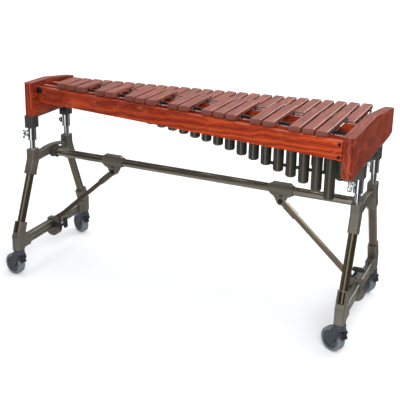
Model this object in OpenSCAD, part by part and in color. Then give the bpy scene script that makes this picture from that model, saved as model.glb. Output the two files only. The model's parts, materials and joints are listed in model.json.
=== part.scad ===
// Concert xylophone on a height-adjustable, wheeled stand.
// Origin: on the floor under the middle of the stand. +X runs towards the low notes,
// +Y towards the player's side, +Z up. Both ends of the stand are one part, turned half a turn.

/* [Keyboard] */
// Spacing of the natural bars, and of the semitone gaps between them
pitch = 48.4; // [46:0.1:50]
// Width of every bar
bar_w = 38; // [34:0.5:40]
// Number of natural bars
natural_count = 26; // [22:1:26]
// Bar thickness at the lowest note
bar_thick_low = 18; // [16:0.5:19]
// Bar thickness at the highest note
bar_thick_high = 22; // [18:0.5:23]
// Height of the top face of the sharps
sharp_top = 791; // [788:1:800]
// Height of the top face of the naturals
natural_top = 766; // [760:1:767]

/* [Keyboard frame] */
// Overall length over the two end blocks
overall_len = 1374; // [1360:1:1400]
// Thickness of an end block
block_t = 38; // [34:1:42]
// Height of the end blocks' flat underside
block_bottom = 652; // [645:1:655]
// Height of the end blocks' flat top
block_top = 788; // [780:1:792]
// Width of a rail under the bars
rail_w = 14; // [10:1:15]
// Height of the front rail's face
front_rail_h = 62; // [50:1:70]

/* [Resonators] */
// Outside diameter of a resonator tube
resonator_d = 38; // [30:1:38]
// Wall of a resonator tube
resonator_wall = 1.5; // [1:0.1:2.5]
// Length of the longest resonator beyond its fixed end allowance
resonator_span = 219; // [180:1:225]

/* [Stand] */
// Distance from the middle to the plane of the legs
leg_x = 671; // [668:1:672]
// Distance of each height rod from the middle plane
rod_y = 122; // [115:1:125]
// Diameter of a height rod
rod_d = 22; // [18:0.5:24]
// Diameter of a leg tube
leg_tube_d = 32; // [28:0.5:33]
// Distance of each caster from the middle plane
foot_y = 243; // [235:1:250]
// Diameter of the main tube between the ends
main_tube_d = 32; // [28:0.5:34]
// Height of the main tube's axis
main_tube_z = 469; // [465:1:475]

/* [Casters] */
// Diameter of a caster wheel
wheel_d = 88; // [80:1:92]
// Width of a caster wheel
wheel_w = 31; // [24:1:31]
// Distance from the swivel axis back to the axle
trail = 26; // [18:1:28]

/* [Hidden] */
$fn = 64;

gap = 0.05;                              // radial play of a running fit
low = 1;                                 // sign of X at the low-note end
high = -1;
near = -1;                               // sign of Y on the audience side
far = 1;

// Keyboard layout
block_in = overall_len / 2 - block_t;    // inner face of an end block
key_shift = -8;                          // the keyboard sits a little towards the high end
natural_x0 = key_shift + (natural_count - 1) / 2 * pitch;
node_part = 0.224;                       // a free bar's still point, as a part of its length
SHARP_STEPS = [0, 1, 2, 4, 5];           // sharps after F, G, A, C and D
NATURAL_SEMITONES = [0, 2, 4, 6, 7, 9, 11];
sharps = [for (i = [0:natural_count - 3]) if (len(search(i % 7, SHARP_STEPS)) > 0) i];
sharp_last = natural_count - 3;          // last place in the sharps' row

function natural_x(k) = natural_x0 - k * pitch;
function sharp_x(i) = natural_x0 - (i + 0.5) * pitch;
function natural_semitone(k) = NATURAL_SEMITONES[k % 7] + 12 * floor(k / 7);
function blend(x, x_low, at_low, x_high, at_high) =
    at_low + (at_high - at_low) * (x - x_low) / (x_high - x_low);

// Long straight lines of the keyboard, each as Y at a given X
function sharp_line(x, at_low, at_high) =
    blend(x, sharp_x(0), at_low, sharp_x(sharp_last), at_high);
function natural_line(x, at_low, at_high) =
    blend(x, natural_x(0), at_low, natural_x(natural_count - 1), at_high);
SHARP_NEAR = [-275, -97];                // near ends of the sharps: low note, high note
SHARP_FAR = [14, 28];
NATURAL_NEAR = [-22, 14];
NATURAL_FAR = [272, 130];
function node_line(a, b, part) = [a[0] + part * (b[0] - a[0]), a[1] + part * (b[1] - a[1])];
SHARP_OUTER = node_line(SHARP_NEAR, SHARP_FAR, node_part);
SHARP_INNER = node_line(SHARP_NEAR, SHARP_FAR, 1 - node_part);
NATURAL_INNER = node_line(NATURAL_NEAR, NATURAL_FAR, node_part);
NATURAL_OUTER = node_line(NATURAL_NEAR, NATURAL_FAR, 1 - node_part);
SHARP_ROW = node_line(SHARP_NEAR, SHARP_FAR, 0.5);
NATURAL_ROW = node_line(NATURAL_NEAR, NATURAL_FAR, 0.5);

function bar_thick(x) = blend(x, natural_x(0), bar_thick_low,
    natural_x(natural_count - 1), bar_thick_high);
cord_drop = 10;                          // depth of the cord below a bar's top
cord_d = 3.4;
cord_hole_d = 5;
sharp_rail_top = sharp_top - 25;
sharp_rail_h = 45;
natural_rail_top = natural_top - 25;
natural_rail_h = 40;
felt_t = 2;
felt_w = 11;
post_pin_d = 5;
post_pin_len = 12;
post_w = 9;
post_t = 3.6;

// Resonators
resonator_end = 40;                      // length the shortest imaginable tube would have
sharp_tube_top = sharp_top - 34;
natural_tube_top = natural_top - 34;
tube_corner = 8;
strip_t = 2;
strip_h = 20;

// Front rail: front face from its high end to its low end
FRONT_HIGH = [-block_in, -98];
FRONT_LOW = [block_in, -301];
front_rail_t = 20;
front_top_high = 766;
front_top_low = 772;
front_angle = atan2(FRONT_LOW[1] - FRONT_HIGH[1], FRONT_LOW[0] - FRONT_HIGH[0]);
front_len = norm(FRONT_LOW - FRONT_HIGH);

// Upper mounting of the stand
strip_bottom = block_bottom - 12;
strip_under_w = 24;
socket_h = 50;
socket_w = 40;
socket_bottom = block_bottom - socket_h;
clamp_h = 52;
clamp_bottom = socket_bottom - clamp_h - 1;
clamp_r = 17;
clamp_lug = 24;                          // rod axis to clamp bolt
rod_bottom = 462;
rod_top = 756;

// End frames
leg_slope = 0.4;                         // run of a leg for each unit of height
leg_tilt = atan(leg_slope);
casting_w = 36;
casting_d = 44;
knee_z = 470;                            // where a leg's axis meets its rod's axis
casting_top = 510;
upper_casting_reach = 67;                // along the leg, down from the knee
joint_r = casting_d / 2 - 1;             // fills the outside of a casting's bend
ankle_z = knee_z - (foot_y - rod_y) / leg_slope;
ankle_reach = 62;                        // along the leg, up from the ankle
foot_bottom = 114;
arch_t = 22;
cross_rail_w = 24;
cross_rail_h = 40;
cross_rail_z = 141;
cross_rail_end = 214;

// Main tube and its braces
tube_end = 655;
collar_mid = 361;
collar_len = 92;
brace_pivot_z = 425;
brace_foot_x = 649;
brace_foot_z = 165;
brace_angle = atan2(brace_pivot_z - brace_foot_z, brace_foot_x - collar_mid);
brace_len = norm([brace_pivot_z - brace_foot_z, brace_foot_x - collar_mid]);
ear_in = 8.4;                            // half the width of the slot that holds a brace
ear_t = 5;
lever_x = 650;
lever_z = 141;

// Casters: side along X, side along Y, heading of the trail
CASTERS = [[low, near, -27], [low, far, -20], [high, near, -12], [high, far, -26]];
fork_in = wheel_w / 2 + 0.7;
fork_t = 5;
fork_head_bottom = wheel_d + 2.5;
fork_top = foot_bottom - 1;
caster_r = 22;
axle_r = 4;
wheel_core_r = wheel_d / 2 - 10;
pedal_x = 17;
pedal_z = 80;

WOOD = [0.62, 0.16, 0.09];
ROSEWOOD = [0.50, 0.24, 0.20];
BRONZE = [0.43, 0.42, 0.39];
DARK = [0.17, 0.18, 0.18];
TUBE_GREY = [0.24, 0.23, 0.19];
CHROME = [0.78, 0.80, 0.82];
BLACK = [0.06, 0.06, 0.07];
WHEEL_GREY = [0.34, 0.37, 0.41];

// ---------- Shared shapes ----------

// A flat outline drawn in the YZ plane, made thick along X
module along_x(t) {
    rotate([90, 0, 90]) linear_extrude(t, center = true) children();
}

// A flat outline drawn in the XZ plane, made thick along Y
module along_y(t) {
    rotate([90, 0, 0]) linear_extrude(t, center = true) children();
}

// Rounded rectangle, centred
module rounded_rect(w, h, r) {
    square([w - 2 * r, h], center = true);
    square([w, h - 2 * r], center = true);
    for (sx = [-1, 1], sy = [-1, 1])
        translate([sx * (w / 2 - r), sy * (h / 2 - r)]) circle(r);
}

// Two circles joined by their outer tangents
module link(p, r1, q, r2) {
    d = norm(q - p);
    turn = atan2(q[1] - p[1], q[0] - p[0]);
    a = acos((r1 - r2) / d);
    translate(p) circle(r1);
    translate(q) circle(r2);
    polygon([
        p + r1 * [cos(turn + a), sin(turn + a)],
        p + r1 * [cos(turn - a), sin(turn - a)],
        q + r2 * [cos(turn - a), sin(turn - a)],
        q + r2 * [cos(turn + a), sin(turn + a)]]);
}

// Turned half a turn for the high end, left alone for the low end
module at_end(side) {
    rotate([0, 0, side == low ? 0 : 180]) children();
}

// Both ends of the stand
module both_ends() {
    for (side = [low, high]) at_end(side) children();
}

// Near and far side of one end
module both_sides() {
    for (side = [near, far]) mirror([0, side == near ? 1 : 0, 0]) children();
}

// The clear length between the end blocks
module between_blocks() {
    intersection() {
        children();
        cube([2 * block_in, 1000, 4 * block_top], center = true);
    }
}

// ---------- Keyboard frame ----------

// Outline of an end block: flat top, then a slope down to the far end
module block_outline(y_near, y_bend, y_far, z_far) {
    polygon([[y_near, block_bottom], [y_far, block_bottom], [y_far, z_far],
        [y_bend, block_top], [y_near, block_top]]);
}

module end_block(side, y_near, y_bend, y_far, z_far) {
    corner = 12;
    mid_x = side * (block_in + block_t / 2);
    difference() {
        intersection() {
            translate([mid_x, 0, 0])
                along_x(block_t) block_outline(y_near, y_bend, y_far, z_far);
            translate([mid_x, (y_near + y_far) / 2, block_bottom - 1])
                linear_extrude(block_top) rounded_rect(block_t, y_far - y_near, corner);
        }
        for (y = [-rod_y, rod_y])
            translate([side * leg_x, y, block_bottom - 1])
                cylinder(d = rod_d + 1, h = rod_top + 2 - block_bottom);
    }
}

module low_end_block() {
    color(WOOD) end_block(low, -304, 14, 336, 747);
}

module high_end_block() {
    color(WOOD) end_block(high, -145, -8, 165, 765);
}

// Front face of the front rail, with X along it from its high end
module on_front_rail() {
    translate([FRONT_HIGH[0], FRONT_HIGH[1], 0]) rotate([0, 0, front_angle]) children();
}

front_bolt_r = 3;
front_bolt_drop = 10;
FRONT_BOLTS = [[9, 755], [front_len - 10, front_top_low - front_bolt_drop],
    [front_len - 10, front_top_low - front_rail_h + front_bolt_drop]];

module front_rail() {
    extra = 10;
    color(WOOD) difference() {
        between_blocks()
            on_front_rail()
                translate([0, front_rail_t / 2, 0])
                    along_y(front_rail_t)
                        polygon([[-extra, front_top_high - front_rail_h],
                            [front_len + extra, front_top_low - front_rail_h],
                            [front_len + extra, front_top_low],
                            [-extra, front_top_high]]);
        on_front_rail()
            for (b = FRONT_BOLTS)
                translate([b[0], -1, b[1]]) rotate([-90, 0, 0])
                    cylinder(r = front_bolt_r + gap, h = 15 + 1);
    }
}

bracket_t = 2.5;

module rail_bolt() {
    head_t = 3.5;
    rotate([-90, 0, 0]) {
        cylinder(r = front_bolt_r, h = 12);
        translate([0, 0, -head_t]) cylinder(r1 = 4.5, r2 = 6, h = head_t);
    }
}

// Angle bracket in the corner between the front rail and the high end block
module rail_bracket() {
    height = 22;
    z = 743;
    difference() {
        union() {
            translate([-block_in, -110, z]) cube([bracket_t, 17, height]);
            on_front_rail() translate([-5, -bracket_t, z]) cube([22, bracket_t, height]);
        }
        on_front_rail() translate([-20, 0, z - 1]) cube([60, 40, height + 2]);
        translate([-block_in - 30, -200, z - 1]) cube([30, 200, height + 2]);
        on_front_rail() translate([FRONT_BOLTS[0][0], -10, FRONT_BOLTS[0][1]])
            rotate([-90, 0, 0]) cylinder(r = front_bolt_r + gap, h = 20);
    }
}

// The bolts that show at the ends of the front rail, and the bracket under one of them
module rail_fixings() {
    color(BLACK) {
        on_front_rail() for (i = [0:2])
            translate([FRONT_BOLTS[i][0], i == 0 ? -bracket_t : 0, FRONT_BOLTS[i][1]]) rail_bolt();
        rail_bracket();
    }
}

// ---------- Bar rails, felts, posts and cords ----------

sharp_post_x = [for (k = [0:natural_count - 2]) natural_x(k)];
natural_post_x = [for (k = [0:natural_count]) natural_x(k) + pitch / 2];

// A straight strip that follows one of the long lines; the line is given as Y at X = 0 and a slope
function line_slope(line, sharp) = sharp
    ? (line[1] - line[0]) / (sharp_x(sharp_last) - sharp_x(0))
    : (line[1] - line[0]) / (natural_x(natural_count - 1) - natural_x(0));
function line_y(x, line, sharp) = sharp
    ? sharp_line(x, line[0], line[1])
    : natural_line(x, line[0], line[1]);

module on_line(line, sharp) {
    translate([0, line_y(0, line, sharp), 0])
        rotate([0, 0, atan(line_slope(line, sharp))]) children();
}

module line_strip(line, sharp, w, z, h) {
    on_line(line, sharp) translate([-800, -w / 2, z]) cube([1600, w, h]);
}

module post_holes(line, sharp, z, depth) {
    for (x = sharp ? sharp_post_x : natural_post_x)
        translate([x, line_y(x, line, sharp), z - depth])
            cylinder(d = post_pin_d + 2 * gap, h = depth + 5, $fn = 32);
}

module bar_rail(line, sharp, top, h) {
    color(WOOD) difference() {
        between_blocks() line_strip(line, sharp, rail_w, top - h, h);
        post_holes(line, sharp, top, post_pin_len + 0.5);
    }
}

module sharp_outer_rail() {
    bar_rail(SHARP_OUTER, true, sharp_rail_top, sharp_rail_h);
}

module sharp_inner_rail() {
    bar_rail(SHARP_INNER, true, sharp_rail_top, sharp_rail_h);
}

module natural_inner_rail() {
    bar_rail(NATURAL_INNER, false, natural_rail_top, natural_rail_h);
}

module natural_outer_rail() {
    bar_rail(NATURAL_OUTER, false, natural_rail_top, natural_rail_h);
}

module felt_strip(line, sharp, top) {
    difference() {
        between_blocks() line_strip(line, sharp, felt_w, top, felt_t);
        post_holes(line, sharp, top, 1);
    }
}

module felt_strips() {
    color([0.45, 0.08, 0.08]) {
        felt_strip(SHARP_OUTER, true, sharp_rail_top);
        felt_strip(SHARP_INNER, true, sharp_rail_top);
        felt_strip(NATURAL_INNER, false, natural_rail_top);
        felt_strip(NATURAL_OUTER, false, natural_rail_top);
    }
}

// One post: a pin in the rail, and a flat eye that carries the cord
module cord_post(base, cord_z, turn) {
    eye_r = post_w / 2;
    difference() {
        union() {
            translate([0, 0, base - post_pin_len])
                cylinder(d = post_pin_d, h = post_pin_len + felt_t + 1, $fn = 32);
            translate([-post_t / 2, -post_w / 2, base + felt_t])
                cube([post_t, post_w, cord_z - base - felt_t]);
            translate([-post_t / 2, 0, cord_z]) rotate([0, 90, 0])
                cylinder(r = eye_r, h = post_t, $fn = 32);
        }
        translate([0, 0, cord_z]) rotate([0, 90, turn])
            cylinder(d = cord_d + 4 * gap, h = 20, center = true, $fn = 32);
    }
}

module post_row(line, sharp, base, cord_z) {
    turn = atan(line_slope(line, sharp));
    for (x = sharp ? sharp_post_x : natural_post_x)
        translate([x, line_y(x, line, sharp), 0]) cord_post(base, cord_z, turn);
}

module cord_posts() {
    color(BLACK) {
        post_row(SHARP_OUTER, true, sharp_rail_top, sharp_top - cord_drop);
        post_row(SHARP_INNER, true, sharp_rail_top, sharp_top - cord_drop);
        post_row(NATURAL_INNER, false, natural_rail_top, natural_top - cord_drop);
        post_row(NATURAL_OUTER, false, natural_rail_top, natural_top - cord_drop);
    }
}

turn_out = 6;                            // how far past its last post a cord turns
spring_len = 62;
spring_r = 3.2;

function cord_point(x, line, sharp, z) = [x, line_y(x, line, sharp), z];

module cord_run(p, q, d) {
    way = q - p;
    translate(p) rotate([0, 90, atan2(way[1], way[0])]) cylinder(d = d, h = norm(way), $fn = 24);
}

// A cord: out along one line of nodes, across, and back along the other; a spring closes it.
// The crossings are a little thinner than the long runs, as the cord is pulled tight there.
module cord_loop(line_a, line_b, sharp, z) {
    xs = sharp ? sharp_post_x : natural_post_x;
    x_low = xs[0] + turn_out;
    x_high = xs[len(xs) - 1] - turn_out;
    over = cord_d / 2;
    a_low = cord_point(x_low, line_a, sharp, z);
    b_low = cord_point(x_low, line_b, sharp, z);
    half = [0, spring_len / 2, 0];
    mid = (a_low + b_low) / 2;
    cross_d = cord_d - 0.6;
    union() {
        for (line = [line_a, line_b])
            cord_run(cord_point(x_high - over, line, sharp, z),
                cord_point(x_low + over, line, sharp, z), cord_d);
        cord_run(cord_point(x_high, line_a, sharp, z), cord_point(x_high, line_b, sharp, z), cross_d);
        cord_run(a_low, mid - half, cross_d);
        cord_run(mid + half, b_low, cross_d);
    }
}

module bar_cords() {
    color([0.12, 0.12, 0.12]) {
        cord_loop(SHARP_OUTER, SHARP_INNER, true, sharp_top - cord_drop);
        cord_loop(NATURAL_INNER, NATURAL_OUTER, false, natural_top - cord_drop);
    }
}

// Close-wound tension spring, drawn as its touching turns
module cord_spring(line_a, line_b, sharp, z) {
    wire_d = 1.8;
    turns = floor(spring_len / wire_d);
    xs = sharp ? sharp_post_x : natural_post_x;
    x = xs[0] + turn_out;
    y = (line_y(x, line_a, sharp) + line_y(x, line_b, sharp)) / 2;
    length = turns * wire_d;
    translate([x, y - length / 2, z]) rotate([-90, 0, 0])
        rotate_extrude($fn = 32) {
            for (i = [0:turns - 1])
                translate([spring_r - wire_d / 2, (i + 0.5) * wire_d]) circle(d = wire_d, $fn = 16);
            translate([spring_r - wire_d * 0.75, wire_d / 2])
                square([wire_d / 2, length - wire_d]);
        }
}

module cord_springs() {
    color(CHROME) {
        cord_spring(SHARP_OUTER, SHARP_INNER, true, sharp_top - cord_drop);
        cord_spring(NATURAL_INNER, NATURAL_OUTER, false, natural_top - cord_drop);
    }
}

// ---------- Bars ----------

// One bar: edges eased, underside arched between the cord holes, drilled along the cord lines
module bar(x, y_near, y_far, top, turn_near, turn_far) {
    t = bar_thick(x);
    length = y_far - y_near;
    ease = 2.2;
    under_ease = 0.8;
    arch_span = length * 0.5;
    arch_rise = t * 0.32;
    arch_r = (pow(arch_span / 2, 2) + pow(arch_rise, 2)) / (2 * arch_rise);
    difference() {
        translate([x, (y_near + y_far) / 2, top - t])
            along_y(length)
                polygon([[-bar_w / 2 + under_ease, 0], [bar_w / 2 - under_ease, 0],
                    [bar_w / 2, under_ease], [bar_w / 2, t - ease], [bar_w / 2 - ease, t],
                    [-bar_w / 2 + ease, t], [-bar_w / 2, t - ease], [-bar_w / 2, under_ease]]);
        translate([x, (y_near + y_far) / 2, top - t + arch_rise - arch_r])
            rotate([0, 90, 0]) cylinder(r = arch_r, h = bar_w + 2, center = true, $fn = 180);
        translate([x, y_near + node_part * length, top - cord_drop])
            rotate([0, 90, turn_near])
                cylinder(d = cord_hole_d, h = bar_w + 10, center = true, $fn = 32);
        translate([x, y_far - node_part * length, top - cord_drop])
            rotate([0, 90, turn_far])
                cylinder(d = cord_hole_d, h = bar_w + 10, center = true, $fn = 32);
    }
}

module natural_bars() {
    color(ROSEWOOD) for (k = [0:natural_count - 1]) {
        x = natural_x(k);
        bar(x, line_y(x, NATURAL_NEAR, false), line_y(x, NATURAL_FAR, false), natural_top,
            atan(line_slope(NATURAL_INNER, false)), atan(line_slope(NATURAL_OUTER, false)));
    }
}

module sharp_bars() {
    color(ROSEWOOD) for (i = sharps) {
        x = sharp_x(i);
        bar(x, line_y(x, SHARP_NEAR, true), line_y(x, SHARP_FAR, true), sharp_top,
            atan(line_slope(SHARP_OUTER, true)), atan(line_slope(SHARP_INNER, true)));
    }
}

// ---------- Resonators ----------

function resonator_len(semitone) = resonator_end + resonator_span * pow(2, -semitone / 12);

// A tube closed by a round-edged floor, open at the top
module resonator(length, top) {
    r = resonator_d / 2;
    translate([0, 0, top - length]) difference() {
        rotate_extrude() {
            translate([0, tube_corner]) square([r, length - tube_corner]);
            square([r - tube_corner, tube_corner]);
            intersection() {
                translate([r - tube_corner, tube_corner]) circle(tube_corner);
                square([r, tube_corner]);
            }
        }
        translate([0, 0, tube_corner]) cylinder(r = r - resonator_wall, h = length);
    }
}

module natural_resonators() {
    color(TUBE_GREY) for (k = [0:natural_count - 1]) {
        x = natural_x(k);
        translate([x, line_y(x, NATURAL_ROW, false), 0])
            resonator(resonator_len(natural_semitone(k)), natural_tube_top);
    }
}

// The sharps' row has a tube at every place, so that the row looks complete
module sharp_resonators() {
    color(TUBE_GREY) for (i = [0:sharp_last]) {
        x = sharp_x(i);
        semitone = (natural_semitone(i) + natural_semitone(i + 1)) / 2;
        translate([x, line_y(x, SHARP_ROW, true), 0])
            resonator(resonator_len(semitone), sharp_tube_top);
    }
}

// Flat strips along both sides of each row of tubes
module resonator_strips() {
    color(DARK) for (row = [[SHARP_ROW, true, sharp_tube_top], [NATURAL_ROW, false, natural_tube_top]],
        side = [near, far])
        between_blocks()
            on_line(row[0], row[1])
                translate([-800, side * (resonator_d / 2 + gap + strip_t / 2) - strip_t / 2,
                    row[2] - 4 - strip_h])
                    cube([1600, strip_t, strip_h]);
}

spacer_count = 5;
spacer_z = 604;

// Small spreaders that keep the longest tubes apart
module resonator_spacers() {
    slope = line_slope(SHARP_ROW, true);
    clear = pitch * sqrt(1 + slope * slope) - resonator_d;
    color(BLACK) for (i = [0:spacer_count - 1]) {
        x = (sharp_x(i) + sharp_x(i + 1)) / 2;
        translate([x, line_y(x, SHARP_ROW, true), spacer_z]) rotate([0, 90, atan(slope)])
            cylinder(r = 6, h = clear - 4 * gap, center = true);
    }
}

// ---------- Upper mounting: strips, sockets, clamps ----------

module block_strips() {
    color(BRONZE) for (e = [[low, -290, 320], [high, -136, 156]])
        difference() {
            translate([e[0] * leg_x - strip_under_w / 2, e[1], strip_bottom])
                cube([strip_under_w, e[2] - e[1], block_bottom - strip_bottom]);
            for (y = [-rod_y, rod_y])
                translate([e[0] * leg_x, y, strip_bottom])
                    cube([socket_w + 2 * gap, casting_d + 2 * gap, 30], center = true);
        }
}

cap_bore_r = 4;
cap_z = 627;

// Square guides that slide on the height rods
module sockets() {
    color(DARK) both_ends() both_sides() difference() {
        translate([leg_x, rod_y, socket_bottom])
            linear_extrude(socket_h) rounded_rect(socket_w, casting_d, 4);
        translate([leg_x, rod_y, socket_bottom - 1])
            cylinder(d = rod_d + 2 * gap, h = socket_h + 2);
        translate([leg_x, rod_y - casting_d / 2 - 1, cap_z]) rotate([-90, 0, 0])
            cylinder(r = cap_bore_r + gap, h = 8 + 1);
    }
}

// Black caps on the inner sides of the sockets
module socket_caps() {
    color(BLACK) both_ends() both_sides()
        translate([leg_x, rod_y - casting_d / 2, cap_z]) rotate([90, 0, 0]) {
            translate([0, 0, -7]) cylinder(r = cap_bore_r, h = 9);
            cylinder(r = 11, h = 9);
            translate([0, 0, 9]) cylinder(r1 = 11, r2 = 8, h = 4);
        }
}

clamp_mid = clamp_bottom + clamp_h / 2;
wing_bolt_r = 3;
lug_half = 9;

// Split collars on the height rods, with a lug for the wing bolt
module height_clamps() {
    color(CHROME) for (x = [-leg_x, leg_x]) both_sides() translate([x, rod_y, clamp_bottom]) difference() {
        union() {
            cylinder(r = clamp_r, h = clamp_h);
            translate([0, 0, clamp_h / 2]) along_y(2 * lug_half)
                link([-8, 0], 16, [-clamp_lug, 0], 8);
        }
        translate([0, 0, -1]) cylinder(d = rod_d + 2 * gap, h = clamp_h + 2);
        translate([-50, -1.5, -1]) cube([50, 3, clamp_h + 2]);
        translate([-clamp_lug, 0, clamp_h / 2]) rotate([90, 0, 0])
            cylinder(r = wing_bolt_r + gap, h = 40, center = true);
    }
}

// Wing bolt along +Y with its head at negative Y, shank from the head to the given length
module wing_bolt(shank, reach) {
    wing_t = 3.5;
    tip_r = 5;
    rotate([-90, 0, 0]) cylinder(r = wing_bolt_r, h = shank);
    rotate([90, 0, 0]) cylinder(r = 6.5, h = 9);
    rotate([0, -90, 0]) linear_extrude(wing_t, center = true)
        for (s = [-1, 1]) link([-5 * s, -6], 3.5, [(tip_r - reach) * s, -15], tip_r);
}

module clamp_wing(end_side, side) {
    color(CHROME) mirror([0, side == near ? 0 : 1, 0])
        translate([end_side * leg_x - clamp_lug, -rod_y - lug_half, clamp_mid])
            wing_bolt(2 * lug_half + 4, 18);
}

module low_near_clamp_wing() {
    clamp_wing(low, near);
}

module low_far_clamp_wing() {
    clamp_wing(low, far);
}

module high_near_clamp_wing() {
    clamp_wing(high, near);
}

module high_far_clamp_wing() {
    clamp_wing(high, far);
}

// Wire pull ring that hangs on the near clamp of the low end
module clamp_ring() {
    ring_r = 10;
    wire_r = 1.6;
    color(BLACK) translate([leg_x - clamp_lug - 6, -rod_y, clamp_mid - 20])
        rotate([90, 0, 0]) rotate_extrude() translate([ring_r - wire_r, 0]) circle(wire_r, $fn = 24);
}

// ---------- End frames ----------

module height_rods() {
    color(CHROME) both_ends() both_sides() translate([leg_x, rod_y, rod_bottom])
        cylinder(d = rod_d, h = rod_top - rod_bottom);
}

// A leg's own axes: origin on its axis at the given height, Z up along the leg
module on_leg(z) {
    translate([leg_x, rod_y + (knee_z - z) * leg_slope, z]) rotate([leg_tilt, 0, 0]) children();
}

module box_section(length) {
    linear_extrude(length) rounded_rect(casting_w, casting_d, 6);
}

// The sloping arm of a casting, a little slimmer across than its upright part
module arm_section(length) {
    linear_extrude(length) rounded_rect(casting_w - 1, casting_d, 5);
}

// Knee casting: holds the rod above and the leg tube below
module upper_casting() {
    wall_above_tube = 14;
    difference() {
        union() {
            translate([leg_x, rod_y, knee_z - 4]) box_section(casting_top - knee_z + 4);
            on_leg(knee_z) translate([0, 0, -upper_casting_reach]) arm_section(upper_casting_reach);
            translate([leg_x, rod_y, knee_z]) along_x(casting_w - 2) circle(joint_r);
        }
        translate([leg_x, rod_y, rod_bottom]) cylinder(d = rod_d + 2 * gap, h = 100);
        on_leg(knee_z) translate([0, 0, -upper_casting_reach - 20])
            cylinder(d = leg_tube_d + 2 * gap, h = upper_casting_reach + 20 - wall_above_tube);
        for (s = [-1, 1]) translate([leg_x + s * casting_w / 2, 0, 0]) along_x(4)
            link([rod_y - 4, 497], 5, [rod_y + 6, 474], 10);
        // relief under the cap screw of the rod
        translate([leg_x, rod_y + casting_d / 2, 490]) rotate([90, 0, 0])
            cylinder(r = 6, h = 4, center = true);
    }
}

module upper_castings() {
    color(BRONZE) both_ends() both_sides() upper_casting();
}

// Side outline of a knee casting, for fitting the arch against it
module knee_outline() {
    half = casting_d / 2 + gap;
    reach = 80;
    bend_drop = half * (1 / cos(leg_tilt) - 1) / leg_slope;
    low_y = rod_y - half / cos(leg_tilt) + reach * leg_slope;
    polygon([[rod_y - half, knee_z + reach], [rod_y - half, knee_z - bend_drop],
        [low_y, knee_z - reach], [low_y + reach, knee_z - reach], [low_y + reach, knee_z + reach]]);
}

arch_r_top = 390;
arch_r_under = 1400;
arch_top_mid = 498;
arch_under_mid = 459;

// Arched cross member between the two knees of an end
module arches() {
    color(BRONZE) both_ends() translate([leg_x, 0, 0]) along_x(arch_t) difference() {
        intersection() {
            translate([0, arch_top_mid - arch_r_top]) circle(arch_r_top, $fn = 180);
            translate([-rod_y, 400]) square([2 * rod_y, 150]);
        }
        translate([0, arch_under_mid - arch_r_under]) circle(arch_r_under, $fn = 180);
        knee_outline();
        mirror([1, 0]) knee_outline();
    }
}

tube_top_inset = 15;
tube_low_inset = 16;

module leg_tubes() {
    leg_span = (knee_z - ankle_z) / cos(leg_tilt);
    color(BRONZE) both_ends() both_sides() on_leg(ankle_z) translate([0, 0, tube_low_inset])
        difference() {
            cylinder(d = leg_tube_d, h = leg_span - tube_low_inset - tube_top_inset);
            translate([0, 0, -1]) cylinder(d = leg_tube_d - 5, h = leg_span);
        }
}

// Ankle casting: leg tube above, caster stem below, cross rail on the inner side
module lower_casting() {
    stem_depth = 36;
    window_w = 24;
    window_len = 44;
    window_depth = 10;
    rail_socket = 40;
    difference() {
        union() {
            translate([leg_x, foot_y, foot_bottom]) box_section(ankle_z - foot_bottom + 4);
            on_leg(ankle_z) arm_section(ankle_reach);
            translate([leg_x, foot_y, ankle_z]) along_x(casting_w - 2) circle(joint_r);
            translate([leg_x, foot_y - casting_d / 2 - rail_socket / 2 + 4, cross_rail_z])
                rotate([90, 0, 0]) linear_extrude(rail_socket + 4, center = true)
                    rounded_rect(casting_w - 2, cross_rail_h + 10, 4);
        }
        on_leg(ankle_z) translate([0, 0, tube_low_inset])
            cylinder(d = leg_tube_d + 2 * gap, h = 200);
        on_leg(ankle_z) translate([0, casting_d / 2, ankle_reach / 2 + 6])
            rotate([90, 0, 0]) linear_extrude(2 * window_depth, center = true)
                rounded_rect(window_w, window_len, 3);
        translate([leg_x, foot_y, foot_bottom - 1]) cylinder(r = 5 + gap, h = stem_depth + 1);
        translate([leg_x - cross_rail_w / 2 - gap, 0, cross_rail_z - cross_rail_h / 2 - gap])
            cube([cross_rail_w + 2 * gap, cross_rail_end + gap, cross_rail_h + 2 * gap]);
    }
}

module lower_castings() {
    color(BRONZE) both_ends() both_sides() lower_casting();
}

// T-slot along a rail face, drawn with the face at Y = 0
module t_slot() {
    translate([-3, -2.5]) square([6, 3.5]);
    translate([-5.5, -5.5]) square([11, 3.2]);
}

// Slotted extrusion between the feet of an end
module cross_rails() {
    color(BRONZE) both_ends() translate([leg_x, 0, cross_rail_z])
        rotate([90, 0, 0]) linear_extrude(2 * cross_rail_end, center = true) difference() {
            rounded_rect(cross_rail_w, cross_rail_h, 3);
            for (s = [-1, 1], z = [-9, 9])
                translate([s * cross_rail_w / 2, z]) rotate(-90 * s) t_slot();
            for (s = [0, 180]) rotate(s) translate([0, cross_rail_h / 2]) t_slot();
        }
}

// ---------- Main tube and fittings ----------

module main_tube() {
    color(BRONZE) translate([0, 0, main_tube_z]) rotate([0, 90, 0]) difference() {
        cylinder(d = main_tube_d, h = 2 * tube_end, center = true);
        cylinder(d = main_tube_d - 5, h = 2 * tube_end + 2, center = true);
    }
}

fitting_in = 632;
fitting_ear_y = 30;

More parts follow.
